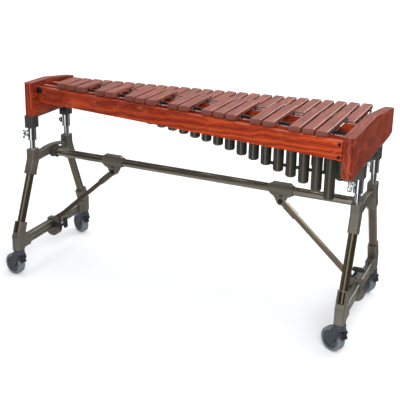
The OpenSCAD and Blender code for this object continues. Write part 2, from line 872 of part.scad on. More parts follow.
// Clamp sleeves on the arches that hold the ends of the main tube
module tube_fittings() {
    arch_face = leg_x - arch_t / 2;
    sleeve = arch_face - fitting_in;
    color(DARK) both_ends() difference() {
        union() {
            translate([fitting_in, 0, main_tube_z]) rotate([0, 90, 0]) {
                cylinder(r = 20, h = sleeve);
                cylinder(r = 22.5, h = 6);
                translate([0, 0, sleeve - 8]) cylinder(r = 24, h = 8);
            }
            translate([fitting_in + 4, -fitting_ear_y - 9, main_tube_z - 11])
                cube([16, fitting_ear_y, 22]);
        }
        translate([fitting_in - 1, 0, main_tube_z]) rotate([0, 90, 0])
            cylinder(d = main_tube_d + 2 * gap, h = tube_end + 1 - fitting_in);
        translate([fitting_in - 1, -60, main_tube_z - 1.5]) cube([22, 60, 3]);
        translate([fitting_in + 12, -fitting_ear_y, main_tube_z - 30])
            cylinder(r = wing_bolt_r + gap, h = 60);
    }
}

module tube_wing(end_side) {
    color(CHROME) at_end(end_side)
        translate([fitting_in + 12, -fitting_ear_y, main_tube_z + 11])
            rotate([-90, 0, 0]) wing_bolt(26, 15);
}

module low_tube_wing() {
    tube_wing(low);
}

module high_tube_wing() {
    tube_wing(high);
}

// Ear of a collar, drawn in the XZ plane
module collar_ear() {
    difference() {
        union() {
            polygon([[collar_mid - 43, 462], [collar_mid + 43, 462], [collar_mid + 42, 450],
                [collar_mid + 22, 440], [collar_mid + 15, 420], [collar_mid - 13, 416],
                [collar_mid - 26, 440], [collar_mid - 43, 452]]);
            translate([collar_mid, brace_pivot_z]) circle(16);
        }
        link([collar_mid - 4, 446], 3, [collar_mid + 4, 446], 3);
    }
}

pivot_bolt_r = 4;

// Saddle collars on the main tube, with a pair of ears for a brace
module brace_collars() {
    color(BRONZE) both_ends() difference() {
        union() {
            translate([collar_mid, 0, main_tube_z]) rotate([0, 90, 0])
                cylinder(r = 20, h = collar_len, center = true);
            translate([collar_mid, 0, 0]) along_y(16)
                polygon([[-collar_len / 2 + 4, main_tube_z + 17], [collar_len / 2 - 4, main_tube_z + 17],
                    [collar_len / 2 - 10, main_tube_z + 26], [-collar_len / 2 + 10, main_tube_z + 26]]);
            for (s = [-1, 1]) translate([0, s * (ear_in + ear_t / 2), 0]) along_y(ear_t) collar_ear();
        }
        translate([collar_mid, 0, main_tube_z]) rotate([0, 90, 0])
            cylinder(d = main_tube_d + 2 * gap, h = collar_len + 2, center = true);
        translate([collar_mid, 0, brace_pivot_z]) rotate([90, 0, 0])
            cylinder(r = pivot_bolt_r + gap, h = 60, center = true);
    }
}

module brace_pivot_bolts() {
    outer = ear_in + ear_t;
    color(BLACK) both_ends() translate([collar_mid, 0, brace_pivot_z]) rotate([90, 0, 0]) {
        cylinder(r = pivot_bolt_r, h = 2 * outer + 4, center = true);
        for (s = [-1, 1]) mirror([0, 0, s == 1 ? 0 : 1]) translate([0, 0, outer]) {
            cylinder(r = 9, h = 3);
            translate([0, 0, 3]) cylinder(r1 = 8, r2 = 6, h = 3);
        }
    }
}

// A brace, with X along it from its pivot: eye, sleeve and grooved rod
module brace() {
    eye_r = 11;
    sleeve_start = 26;
    sleeve_end = 82;
    rod_w = 17;
    foot_r = 9;
    groove = 2.2;
    tongue = 2 * ear_in - 0.8;
    difference() {
        union() {
            along_y(tongue) link([0, 0], eye_r, [sleeve_start + 4, 0], eye_r);
            translate([sleeve_start, 0, 0]) rotate([0, 90, 0])
                linear_extrude(sleeve_end - sleeve_start) rounded_rect(24, 24, 4);
            along_y(tongue - 0.8) {
                translate([sleeve_end - 2, -rod_w / 2])
                    square([brace_len - sleeve_end + 2, rod_w]);
                translate([brace_len, 0]) circle(foot_r);
            }
        }
        rotate([90, 0, 0]) cylinder(r = pivot_bolt_r + gap, h = 60, center = true);
        for (s = [-1, 1], z = [-4, 4])
            translate([sleeve_end + 1, s * (tongue - 0.8) / 2 - groove / 2, z - groove / 2])
                cube([brace_len - sleeve_end - 28, groove, groove]);
        for (s = [-1, 1])
            translate([sleeve_end + 1, -groove, s * rod_w / 2 - groove / 2])
                cube([brace_len - sleeve_end - 28, 2 * groove, groove]);
    }
}

module set_brace(end_side) {
    color(BRONZE) at_end(end_side)
        translate([collar_mid, 0, brace_pivot_z]) rotate([0, brace_angle, 0]) brace();
}

module low_brace() {
    set_brace(low);
}

module high_brace() {
    set_brace(high);
}

// Cheek of the clamp that joins a brace to its cross rail, drawn in the XZ plane
module cheek_outline() {
    difference() {
        union() {
            translate([leg_x - 4, 120]) circle(34);
            link([leg_x - 6, 130], 26, [brace_foot_x - 1, brace_foot_z], 13);
            translate([leg_x - 4, 120]) square([24, 46]);
        }
        translate([lever_x + 5, 110]) circle(4);
    }
}

module brace_clamps() {
    outer = ear_in + ear_t;
    color(BRONZE) both_ends() difference() {
        union() {
            for (s = [-1, 1]) translate([0, s * (ear_in + ear_t / 2), 0]) along_y(ear_t) cheek_outline();
            translate([leg_x - 12.5, -outer, 108]) cube([32, 2 * outer, 58]);
        }
        translate([leg_x - cross_rail_w / 2 - gap, -50, cross_rail_z - cross_rail_h / 2 - gap])
            cube([cross_rail_w + 2 * gap, 100, cross_rail_h + 2 * gap]);
        translate([lever_x, 0, lever_z]) rotate([90, 0, 0])
            cylinder(r = pivot_bolt_r + gap, h = 60, center = true);
    }
}

// Cam lever: screw through both cheeks, round hub, curved neck and a cross bar as its grip
module brace_lever(turn) {
    hub_r = 9;
    grip_reach = 58;
    grip_out = 16;
    grip_half = 16;
    grip_r = 7.5;
    outer = ear_in + ear_t;
    thick = 12;
    translate([lever_x, 0, lever_z]) rotate([0, turn, 0]) {
        translate([0, outer + gap, 0]) rotate([90, 0, 0])
            cylinder(r = pivot_bolt_r, h = 2 * outer + 6);
        translate([0, outer + gap + thick / 2, 0]) along_y(thick) {
            link([0, 0], hub_r, [-2, grip_reach * 0.42], 5.5);
            link([-2, grip_reach * 0.42], 5.5, [grip_out * 0.5, grip_reach * 0.85], 5.5);
            link([grip_out - grip_half, grip_reach], grip_r, [grip_out + grip_half, grip_reach], grip_r);
        }
        translate([0, -outer - 0.5, 0]) rotate([90, 0, 0]) cylinder(r = 7, h = 5);
    }
}

module low_brace_lever() {
    color(BLACK) at_end(low) brace_lever(0);
}

module high_brace_lever() {
    color(BLACK) at_end(high) brace_lever(-85);
}

// ---------- Casters ----------

// Places a caster that is drawn with its swivel axis at the origin, trailing towards -X
module set_caster(i) {
    translate([CASTERS[i][0] * leg_x, CASTERS[i][1] * foot_y, 0])
        rotate([0, 0, CASTERS[i][2]]) children();
}

module at_axle() {
    translate([-trail, 0, wheel_d / 2]) rotate([90, 0, 0]) children();
}

// Swivel head, hood, two side arms, axle and stem
module caster_fork(i) {
    skirt_z = 66;
    ear_y = 13;
    arm_out = fork_in + fork_t;
    color(DARK) set_caster(i) difference() {
        union() {
            translate([0, 0, skirt_z]) cylinder(r = caster_r, h = fork_top - skirt_z - 3);
            translate([0, 0, fork_top - 3]) cylinder(r1 = caster_r, r2 = caster_r - 3, h = 3);
            cylinder(r = 5, h = foot_bottom + 34);
            for (s = [-1, 1]) {
                translate([0, s * (fork_in + fork_t / 2), 0]) along_y(fork_t)
                    link([-3, 84], 17, [-trail, wheel_d / 2], 17);
                translate([0, s * (ear_y + 2.5), 0]) along_y(5)
                    link([4, pedal_z], 10, [pedal_x, pedal_z], 7);
            }
        }
        difference() {
            at_axle() cylinder(r = wheel_d / 2 + 2, h = 2 * fork_in, center = true);
            at_axle() cylinder(r = axle_r, h = 2 * arm_out, center = true);
        }
        translate([-50, -fork_in, -1]) cube([58, 2 * fork_in, 45]);
        translate([8, -ear_y, 0]) cube([60, 2 * ear_y, fork_head_bottom]);
        translate([pedal_x, 0, pedal_z]) rotate([90, 0, 0])
            cylinder(r = 2.5 + gap, h = 60, center = true);
    }
}

// Moulded wheel centre with a raised hub
module wheel_core(i) {
    half = wheel_w / 2 - 1;
    color(WHEEL_GREY) set_caster(i) at_axle() difference() {
        union() {
            cylinder(r = wheel_core_r - gap, h = 2 * half, center = true);
            cylinder(r = 12, h = wheel_w, center = true);
        }
        cylinder(r = axle_r + gap, h = wheel_w + 2, center = true);
        for (s = [-1, 1]) translate([0, 0, s * (half + 2)]) difference() {
            cylinder(r = wheel_core_r - 4, h = 14, center = true);
            cylinder(r = 15, h = 16, center = true);
        }
    }
}

// Tyre with rounded shoulders
module wheel_tyre(i) {
    r = wheel_d / 2;
    shoulder = 5;
    color(WHEEL_GREY) set_caster(i) at_axle() rotate_extrude() {
        translate([wheel_core_r, -wheel_w / 2]) square([r - wheel_core_r - shoulder, wheel_w]);
        translate([r - shoulder - 1, -wheel_w / 2 + shoulder])
            square([shoulder + 1, wheel_w - 2 * shoulder]);
        for (s = [-1, 1]) translate([r - shoulder, s * (wheel_w / 2 - shoulder)]) circle(shoulder);
    }
}

// Brake pedal: pin and foot plate
module brake_pedal(i) {
    color(BLACK) set_caster(i) {
        translate([pedal_x, 0, pedal_z]) rotate([90, 0, 0])
            cylinder(r = 2.5, h = 34, center = true);
        along_y(22) link([pedal_x, pedal_z], 6, [pedal_x + 8, pedal_z - 16], 4.5);
    }
}

module low_near_fork() { caster_fork(0); }
module low_far_fork() { caster_fork(1); }
module high_near_fork() { caster_fork(2); }
module high_far_fork() { caster_fork(3); }
module low_near_wheel() { wheel_core(0); }
module low_far_wheel() { wheel_core(1); }
module high_near_wheel() { wheel_core(2); }
module high_far_wheel() { wheel_core(3); }
module low_near_tyre() { wheel_tyre(0); }
module low_far_tyre() { wheel_tyre(1); }
module high_near_tyre() { wheel_tyre(2); }
module high_far_tyre() { wheel_tyre(3); }
module low_near_pedal() { brake_pedal(0); }
module low_far_pedal() { brake_pedal(1); }
module high_near_pedal() { brake_pedal(2); }
module high_far_pedal() { brake_pedal(3); }

low_end_block();
high_end_block();
front_rail();
sharp_outer_rail();
sharp_inner_rail();
natural_inner_rail();
natural_outer_rail();
rail_fixings();
felt_strips();
cord_posts();
natural_bars();
sharp_bars();
bar_cords();
cord_springs();
sharp_resonators();
natural_resonators();
resonator_strips();
resonator_spacers();
block_strips();
sockets();
socket_caps();
height_clamps();
clamp_ring();
low_near_clamp_wing();
low_far_clamp_wing();
high_near_clamp_wing();
high_far_clamp_wing();
height_rods();
upper_castings();
arches();
leg_tubes();
lower_castings();
cross_rails();
main_tube();
tube_fittings();
low_tube_wing();
high_tube_wing();
brace_collars();
brace_pivot_bolts();
low_brace();
high_brace();
brace_clamps();
low_brace_lever();
high_brace_lever();
low_near_fork();
low_far_fork();
high_near_fork();
high_far_fork();
low_near_wheel();
low_far_wheel();
high_near_wheel();
high_far_wheel();
low_near_tyre();
low_far_tyre();
high_near_tyre();
high_far_tyre();
low_near_pedal();
low_far_pedal();
high_near_pedal();
high_far_pedal();
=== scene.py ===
"""Looks for the xylophone: materials, softened edges, cords and springs, floor, light and camera."""

import json
import math

import bpy
from mathutils import Matrix, Vector


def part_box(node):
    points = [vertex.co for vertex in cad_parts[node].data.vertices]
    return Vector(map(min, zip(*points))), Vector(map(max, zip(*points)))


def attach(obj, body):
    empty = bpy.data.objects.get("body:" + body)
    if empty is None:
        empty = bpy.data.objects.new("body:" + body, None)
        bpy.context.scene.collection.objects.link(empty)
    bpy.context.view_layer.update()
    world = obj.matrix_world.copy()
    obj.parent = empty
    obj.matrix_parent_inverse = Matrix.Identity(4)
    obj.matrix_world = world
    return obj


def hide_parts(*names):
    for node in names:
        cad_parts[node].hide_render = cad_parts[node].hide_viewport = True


MM = 0.001

# Places of the colour sockets of a Mix node
MIX_FACTOR, MIX_A, MIX_B, MIX_RESULT = 0, 6, 7, 2

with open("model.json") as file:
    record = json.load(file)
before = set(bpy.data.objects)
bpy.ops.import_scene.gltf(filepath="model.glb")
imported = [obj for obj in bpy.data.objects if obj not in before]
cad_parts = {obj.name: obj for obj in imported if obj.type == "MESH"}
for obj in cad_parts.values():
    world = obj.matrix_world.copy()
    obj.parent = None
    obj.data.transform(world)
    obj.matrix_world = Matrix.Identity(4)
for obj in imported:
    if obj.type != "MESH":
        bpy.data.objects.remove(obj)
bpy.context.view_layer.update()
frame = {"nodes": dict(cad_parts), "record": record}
nodes = frame["nodes"]
record = frame["record"]
NODE_SLOT = {s["node"]: s["material_slot"] for s in record["subparts"]}


# ---------- Node-graph helpers ----------


class Graph:
    """The node graph of a material or a world, with short calls for the nodes they share."""

    def __init__(self, name, world=False):
        self.owner = bpy.data.worlds.new(name) if world else bpy.data.materials.new(name)
        self.owner.use_nodes = True
        self.tree = self.owner.node_tree
        self.tree.nodes.clear()
        self.output = self.new("OutputWorld" if world else "OutputMaterial")
        if not world:
            self.surface = self.new("BsdfPrincipled")
            self.join(self.surface.outputs["BSDF"], self.output, "Surface")

    def new(self, kind, **values):
        node = self.tree.nodes.new("ShaderNode" + kind)
        for key, value in values.items():
            if hasattr(node, key):
                setattr(node, key, value)
            else:
                node.inputs[key.replace("_", " ").title()].default_value = value
        return node

    def join(self, output, node, socket):
        self.tree.links.new(output, node.inputs[socket])

    def feed(self, value, socket):
        """Links another node's output to the socket, or gives the socket a plain value."""
        if isinstance(value, bpy.types.NodeSocket):
            self.tree.links.new(value, socket)
        else:
            socket.default_value = value

    def set(self, **values):
        """Gives the surface shader its inputs, named as keywords."""
        for key, value in values.items():
            self.feed(value, self.surface.inputs[key.replace("_", " ").title().replace("Ior", "IOR")])

    def coords(self, turn_z=0.0, tilt=0.0, scale=(1, 1, 1), offset=(0, 0, 0)):
        """Object coordinates in metres, turned about Z so that X runs along the board, tilted, then scaled."""
        place = self.new("TexCoord").outputs["Object"]
        turned = self.new("Mapping")
        turned.inputs["Rotation"].default_value = (0, tilt, -turn_z)
        turned.inputs["Location"].default_value = offset
        self.join(place, turned, "Vector")
        scaled = self.new("Mapping")
        scaled.inputs["Scale"].default_value = scale
        self.join(turned.outputs["Vector"], scaled, "Vector")
        return scaled.outputs["Vector"]

    def noise(self, vector, scale, detail=4.0, roughness=0.55, distortion=0.0):
        node = self.new("TexNoise", scale=scale, detail=detail, roughness=roughness, distortion=distortion)
        self.join(vector, node, "Vector")
        return node.outputs["Fac"]

    def ramp(self, value, stops):
        node = self.new("ValToRGB")
        elements = node.color_ramp.elements
        while len(elements) < len(stops):
            elements.new(0.5)
        for element, (position, color) in zip(elements, stops):
            element.position = position
            element.color = (*color, 1)
        self.join(value, node, "Fac")
        return node.outputs["Color"]

    def grey_ramp(self, value, stops):
        return self.ramp(value, [(p, (g, g, g)) for p, g in stops])

    def mix(self, factor, a, b, mode="MIX"):
        node = self.new("Mix")
        node.data_type = "RGBA"
        node.blend_type = mode
        for value, index in ((factor, MIX_FACTOR), (a, MIX_A), (b, MIX_B)):
            self.feed((*value, 1) if isinstance(value, tuple) else value, node.inputs[index])
        return node.outputs[MIX_RESULT]

    def math(self, operation, a, b=0.0):
        node = self.new("Math", operation=operation)
        self.feed(a, node.inputs[0])
        self.feed(b, node.inputs[1])
        return node.outputs[0]

    def vector_math(self, operation, a, b=None):
        node = self.new("VectorMath", operation=operation)
        self.feed(a, node.inputs[0])
        if b is not None:
            self.feed(b, node.inputs[1])
        return node.outputs["Value" if operation in ("LENGTH", "DOT_PRODUCT") else "Vector"]

    def map_range(self, value, source=(0, 1), target=(0, 1)):
        """A value within source, brought to the same place within target."""
        node = self.new("MapRange")
        for socket, amount in zip(("From Min", "From Max", "To Min", "To Max"), (*source, *target)):
            node.inputs[socket].default_value = amount
        self.join(value, node, "Value")
        return node.outputs["Result"]

    def bump(self, height, distance, strength=0.5):
        node = self.new("Bump")
        node.inputs["Strength"].default_value = strength
        node.inputs["Distance"].default_value = distance
        self.join(height, node, "Height")
        self.join(node.outputs["Normal"], self.surface, "Normal")

    def split(self, vector):
        node = self.new("SeparateXYZ")
        self.join(vector, node, "Vector")
        return node.outputs


# ---------- Wood ----------

LACQUER_LIGHT = (0.46, 0.056, 0.009)
LACQUER_MID = (0.31, 0.028, 0.005)
LACQUER_DARK = (0.205, 0.016, 0.004)
LACQUER_VEIN = (0.58, 0.17, 0.07)
RING_TILT = math.radians(4)
VEIN_TILT = math.radians(5)
OVAL_COUNT = 22
WAVE_RADIANS = 20  # the wave texture's phase over one metre, at a scale of 1


def mahogany(name, turn_z, offset, ring_spacing=0.013, redness=0.0, ovals=0.0, painted_light_to=0.0):
    """Lacquered mahogany: tilted growth rings give the long flame figure of a flat-sawn board.

    The last argument, in metres, paints light on the board: its colour grows lighter along X up to that place,
    standing in for light that falls from the right.
    """
    g = Graph(name)
    rings = g.new("TexWave", scale=2 * math.pi / WAVE_RADIANS / ring_spacing, distortion=5.5, detail=2.5)
    rings.wave_type = "RINGS"
    rings.rings_direction = "X"
    rings.inputs["Detail Scale"].default_value = 0.9
    rings.inputs["Detail Roughness"].default_value = 0.6
    g.join(g.coords(turn_z, RING_TILT, (0.40, 1, 1), offset), rings, "Vector")
    figure = g.ramp(rings.outputs["Fac"], [
        (0.0, LACQUER_DARK), (0.22, LACQUER_MID), (0.70, LACQUER_MID), (1.0, LACQUER_LIGHT)])
    cloud = g.noise(g.coords(turn_z, 0, (0.16, 1, 1), offset), 9.0, 3.0)
    tone = g.ramp(cloud, [(0.30, (0.76, 0.68, 0.68)), (0.52, (1, 1, 1)), (0.74, (1.20, 1.35, 1.3))])
    color = g.mix(1.0, figure, tone, "MULTIPLY")
    vein = g.noise(g.coords(turn_z, VEIN_TILT, (0.16, 1, 1), offset), 34.0, 2.0, 0.5, 0.6)
    vein_line = g.grey_ramp(vein, [(0.485, 0.0), (0.5, 1.0), (0.515, 0.0)])
    patches = g.noise(g.coords(turn_z, 0, (1, 1, 1), offset), 7.0, 1.0)
    vein_mask = g.grey_ramp(patches, [(0.50, 0.0), (0.62, 0.55)])
    color = g.mix(g.math("MULTIPLY", vein_line, vein_mask), color, LACQUER_VEIN)
    fibre = g.noise(g.coords(turn_z, 0, (0.06, 1, 1), offset), 700.0, 2.0)
    color = g.mix(0.30, color, g.grey_ramp(fibre, [(0.35, 0.35), (0.6, 1.25)]), "MULTIPLY")
    if redness:
        color = g.mix(redness, color, (0.45, 0.38, 0.55), "MULTIPLY")
    if ovals:
        # Nested ovals, as where a flat-sawn board cuts the growth rings
        hill = g.noise(g.coords(turn_z, 0, (0.22, 1, 1), offset), 8.0, 1.5, 0.4)
        step = g.math("FRACT", g.math("MULTIPLY", hill, OVAL_COUNT))
        line = g.grey_ramp(step, [(0.0, 1.0), (0.10, 0.0), (0.90, 0.0), (1.0, 1.0)])
        color = g.mix(g.math("MULTIPLY", line, ovals), color, LACQUER_VEIN)
    if painted_light_to:
        # Painted light: the colour grows lighter along X, standing in for light that falls from the right.
        painted_light_reach = g.map_range(g.split(g.coords())["X"], source=(-painted_light_to, painted_light_to))
        color = g.mix(1.0, color, g.ramp(painted_light_reach, [(0.0, (0.84, 0.80, 0.86)), (1.0, (1.34, 1.42, 0.98))]), "MULTIPLY")
    g.set(base_color=color, roughness=g.map_range(fibre, target=(0.38, 0.50)), specular_ior_level=0.2,
          coat_weight=0.30, coat_roughness=0.08)
    g.bump(fibre, 0.00025, 0.35)
    return g.owner


ROSE_LIGHT = (0.37, 0.105, 0.058)
ROSE_MID = (0.235, 0.050, 0.030)
ROSE_DARK = (0.095, 0.020, 0.014)
FACES_END = 0.9  # least Y of the normal of a bar's sawn end


def rosewood(name, bar_pitch, first_edge):
    """Rosewood bars: grain along Y, each bar with its own tone, darker end grain on the sawn ends."""
    g = Graph(name)
    place = g.new("TexCoord").outputs["Object"]
    xyz = g.split(place)
    bar_number = g.math("FLOOR", g.math("DIVIDE", g.math("SUBTRACT", xyz["X"], first_edge), bar_pitch))
    own = g.new("TexWhiteNoise")
    own.noise_dimensions = "1D"
    g.join(bar_number, own, "W")
    shift = g.new("CombineXYZ")
    for axis, amount in (("X", 0.9), ("Y", 3.0), ("Z", 1.7)):
        g.join(g.math("MULTIPLY", own.outputs["Value"], amount), shift, axis)
    moved = g.vector_math("ADD", place, shift.outputs["Vector"])
    stretch = g.new("Mapping")
    stretch.inputs["Scale"].default_value = (1, 0.07, 1)
    g.join(moved, stretch, "Vector")
    streaks = g.noise(stretch.outputs["Vector"], 130.0, 4.0, 0.6, 0.8)
    fibre = g.noise(stretch.outputs["Vector"], 900.0, 2.0)
    color = g.ramp(streaks, [(0.28, ROSE_DARK), (0.46, ROSE_MID), (0.66, ROSE_LIGHT)])
    color = g.mix(0.35, color, g.grey_ramp(fibre, [(0.35, 0.30), (0.6, 1.2)]), "MULTIPLY")
    tone = g.ramp(own.outputs["Value"], [
        (0.0, (0.90, 0.86, 0.86)), (0.4, (1, 1, 1)), (0.7, (1.14, 1.08, 1.04)), (1.0, (0.94, 1.0, 1.06))])
    color = g.mix(1.0, color, tone, "MULTIPLY")
    end_grain = g.ramp(g.noise(moved, 420.0, 3.0), [
        (0.35, (0.09, 0.022, 0.016)), (0.65, (0.27, 0.080, 0.052))])
    facing = g.split(g.new("NewGeometry").outputs["True Normal"])["Y"]
    on_end = g.math("GREATER_THAN", g.math("ABSOLUTE", facing), FACES_END)
    color = g.mix(on_end, color, end_grain)
    g.set(base_color=color, roughness=g.map_range(streaks, target=(0.36, 0.52)), coat_weight=0.22,
          coat_roughness=0.30)
    g.bump(g.math("ADD", fibre, streaks), 0.0002, 0.5)
    return g.owner


# ---------- Metal, plastic, rubber, felt and cord ----------


def coated_metal(name, color, rough, metallic, grain=900.0, depth=0.00012, wear=0.12, coat=0.0):
    """Painted or anodised metal: fine orange-peel, faint smudges and a slightly lighter wear tone."""
    g = Graph(name)
    place = g.coords()
    peel = g.noise(place, grain, 2.0)
    smudge = g.noise(place, 14.0, 5.0, 0.6)
    darker = tuple(c * (1 - wear) for c in color)
    lighter = tuple(c * (1 + 1.6 * wear) for c in color)
    base = g.ramp(smudge, [(0.30, darker), (0.55, color), (0.75, lighter)])
    base = g.mix(0.12, base, g.grey_ramp(peel, [(0.3, 0.6), (0.7, 1.4)]), "MULTIPLY")
    g.set(base_color=base, metallic=metallic, roughness=g.map_range(smudge, target=(rough - 0.05, rough + 0.09)),
          coat_weight=coat, coat_roughness=0.25)
    g.bump(peel, depth, 0.4)
    return g.owner


def drawn_metal(name, color, rough, axis, metallic=0.85):
    """Drawn or extruded metal: fine lines along one axis (0 to 2 for X to Z) over a satin face."""
    g = Graph(name)
    stretched = tuple(0.02 if i == axis else 1.0 for i in range(3))
    lines = g.noise(g.coords(scale=stretched), 1400.0, 2.0)
    smudge = g.noise(g.coords(), 11.0, 4.0)
    darker, lighter = tuple(c * 0.84 for c in color), tuple(c * 1.12 for c in color)
    base = g.ramp(lines, [(0.3, darker), (0.7, lighter)])
    base = g.mix(0.35, base, g.ramp(smudge, [(0.35, darker), (0.65, lighter)]))
    g.set(base_color=base, metallic=metallic, roughness=g.map_range(smudge, target=(rough - 0.04, rough + 0.07)))
    g.bump(lines, 0.00006, 0.35)
    return g.owner


def chrome_plate(name):
    g = Graph(name)
    haze = g.noise(g.coords(), 22.0, 4.0, 0.6)
    g.set(base_color=g.ramp(haze, [(0.3, (0.70, 0.72, 0.74)), (0.7, (0.83, 0.84, 0.85))]), metallic=1.0,
          roughness=g.map_range(haze, target=(0.04, 0.13)))
    g.bump(g.noise(g.coords(), 60.0, 2.0), 0.0003, 0.06)
    return g.owner


def moulded(name, color, rough, spec=0.5, grain=1100.0, depth=0.00012):
    """Moulded plastic or rubber with a fine matt grain and faint scuffs."""
    g = Graph(name)
    place = g.coords()
    texture = g.noise(place, grain, 3.0)
    scuff = g.noise(place, 35.0, 5.0, 0.65)
    lighter = tuple(min(1.0, c * 1.35 + 0.006) for c in color)
    base = g.ramp(scuff, [(0.35, color), (0.72, lighter)])
    g.set(base_color=base, roughness=g.map_range(texture, target=(rough - 0.06, rough + 0.08)),
          specular_ior_level=spec)
    g.bump(texture, depth, 0.45)
    return g.owner


def felt_cloth(name):
    g = Graph(name)
    fuzz = g.noise(g.coords(), 1500.0, 3.0, 0.7)
    g.set(base_color=g.ramp(fuzz, [(0.3, (0.16, 0.012, 0.012)), (0.7, (0.34, 0.035, 0.032))]), roughness=0.95,
          sheen_weight=0.6, sheen_roughness=0.5)
    g.bump(fuzz, 0.0006, 0.8)
    return g.owner


STRAND_SLANT = 0.9


def braided_cord(name):
    """Black braid: two sets of fine slanted strands."""
    g = Graph(name)
    height = None
    for slant in (STRAND_SLANT, -STRAND_SLANT):
        strands = g.new("TexWave", scale=150.0, distortion=0.4)
        strands.bands_direction = "X"
        turned = g.new("Mapping")
        turned.inputs["Rotation"].default_value = (0, 0, slant)
        g.join(g.new("TexCoord").outputs["Object"], turned, "Vector")
        g.join(turned.outputs["Vector"], strands, "Vector")
        height = strands.outputs["Fac"] if height is None else g.math("MAXIMUM", height, strands.outputs["Fac"])
    g.set(base_color=g.ramp(height, [(0.2, (0.012, 0.012, 0.013)), (0.9, (0.09, 0.09, 0.095))]), roughness=0.8)
    g.bump(height, 0.0005, 0.8)
    return g.owner


FRAME_GREY = (0.165, 0.150, 0.122)
BRONZE_TUBE = (0.185, 0.145, 0.105)
ALONG_X, ALONG_Y, ALONG_Z = range(3)

MATERIALS = {
    "felt": felt_cloth("felt"),
    "post_rubber": moulded("post_rubber", (0.012, 0.012, 0.013), 0.48),
    "cord": braided_cord("cord"),
    "spring_steel": drawn_metal("spring_steel", (0.62, 0.63, 0.64), 0.22, ALONG_Y, 1.0),
    "resonator_metal": drawn_metal("resonator_metal", (0.110, 0.104, 0.082), 0.30, ALONG_Z, 0.75),
    "black_steel": coated_metal("black_steel", (0.016, 0.016, 0.017), 0.36, 0.5),
    "frame_metal": coated_metal("frame_metal", FRAME_GREY, 0.36, 0.55, grain=1300.0),
    "tube_metal": drawn_metal("tube_metal", (0.30, 0.275, 0.225), 0.20, ALONG_X, 0.95),
    "dark_metal": coated_metal("dark_metal", (0.075, 0.072, 0.065), 0.40, 0.55),
    "chrome": chrome_plate("chrome"),
    "black_plastic": moulded("black_plastic", (0.012, 0.012, 0.013), 0.36),
    "caster_metal": coated_metal("caster_metal", (0.038, 0.048, 0.058), 0.42, 0.1, coat=0.1),
    "wheel_plastic": moulded("wheel_plastic", (0.066, 0.080, 0.094), 0.46),
    "tyre": moulded("tyre", (0.135, 0.155, 0.172), 0.60, 0.35, 700.0, 0.0002),
}

# Nodes whose drawn lines run another way, or whose finish is a little different, within their slot
NODE_MATERIALS = {
    "leg_tubes": drawn_metal("leg_tube_metal", BRONZE_TUBE, 0.20, ALONG_Z, 0.92),
    "low_brace": drawn_metal("brace_metal", BRONZE_TUBE, 0.30, ALONG_X, 0.85),
    "cross_rails": drawn_metal("cross_rail_metal", (0.31, 0.295, 0.255), 0.30, ALONG_Y, 0.8),
    "resonator_strips": coated_metal("resonator_strip_metal", (0.05, 0.047, 0.038), 0.42, 0.5),
}
NODE_MATERIALS["high_brace"] = NODE_MATERIALS["low_brace"]


END_SLICE = 2 * MM
BAR_GAP = 10.4 * MM
NATURAL_COUNT = 26
BOARDS = ("front_rail", "sharp_outer_rail", "sharp_inner_rail", "natural_inner_rail", "natural_outer_rail")
BOARD_SHIFT = 0.37  # how far from one board to the next in the figure of the wood


def line_angle(node):
    """Angle about Z of a long part, from the corners of its own mesh."""
    low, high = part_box(node)
    verts = [v.co for v in nodes[node].data.vertices]
    at_low = [v.y for v in verts if v.x < low.x + END_SLICE]
    at_high = [v.y for v in verts if v.x > high.x - END_SLICE]
    return math.atan2(sum(at_high) / len(at_high) - sum(at_low) / len(at_low), high.x - low.x)


def wood_for(node):
    """Each board is cut from another place in the tree, with its grain along its length."""
    if node in ("natural_bars", "sharp_bars"):
        first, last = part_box("natural_bars")
        pitch = (last.x - first.x + BAR_GAP) / NATURAL_COUNT
        return rosewood(node + "_rosewood", pitch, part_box(node)[0].x - BAR_GAP / 2)
    if node == "low_end_block":
        return mahogany("low_end_block_wood", math.pi / 2, (0.1, 0.05, -0.70), 0.017, 0.46, 0.30)
    if node == "high_end_block":
        return mahogany("high_end_block_wood", math.pi / 2, (0.9, 0.32, -0.74), 0.015, 0.45, 0.12)
    far = BOARD_SHIFT * BOARDS.index(node)
    # Only the front rail gets painted light, lighter towards its high end, as if lit from the right.
    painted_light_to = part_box(node)[1].x if node == "front_rail" else 0
    return mahogany(node + "_wood", line_angle(node), (far, 0.26 + far, -0.78), 0.014, painted_light_to=painted_light_to)


# ---------- Softened edges on the CAD parts ----------

# Width of the rounding of each node's sharp edges, in millimetres, by name or by the end of the name
EDGE_MM = {
    "low_end_block": 2.5, "high_end_block": 2.5, "front_rail": 1.8, "sharp_outer_rail": 1.2,
    "sharp_inner_rail": 1.2, "natural_inner_rail": 1.2, "natural_outer_rail": 1.2,
    "natural_bars": 0.8, "sharp_bars": 0.8, "block_strips": 1.0, "sockets": 1.2, "socket_caps": 1.2,
    "height_clamps": 1.2, "upper_castings": 1.5, "arches": 2.5, "lower_castings": 1.5,
    "cross_rails": 0.5, "tube_fittings": 1.0, "brace_collars": 1.2, "low_brace": 0.6, "high_brace": 0.6,
    "brace_clamps": 1.2, "low_brace_lever": 2.0, "high_brace_lever": 2.0, "rail_fixings": 0.5,
    "brace_pivot_bolts": 0.6,
}
EDGE_MM_BY_END = {"_wing": 1.1, "_fork": 1.2, "_pedal": 1.5, "_wheel": 1.0}
SAME_CORNER = 0.01 * MM
SHARP_EDGE = math.radians(32)


def edge_width(node):
    for ending, width in EDGE_MM_BY_END.items():
        if node.endswith(ending):
            return width * MM
    return EDGE_MM.get(node, 0) * MM


def soften(obj, width):
    """Joins the mesh's split corners, rounds its sharp edges and evens its shading."""
    weld = obj.modifiers.new("join", "WELD")
    weld.merge_threshold = SAME_CORNER
    bevel = obj.modifiers.new("round", "BEVEL")
    bevel.width = width
    bevel.segments = 3
    bevel.limit_method = "ANGLE"
    bevel.angle_limit = SHARP_EDGE
    bevel.miter_outer = "MITER_ARC"
    obj.modifiers.new("shade", "WEIGHTED_NORMAL").weight = 90


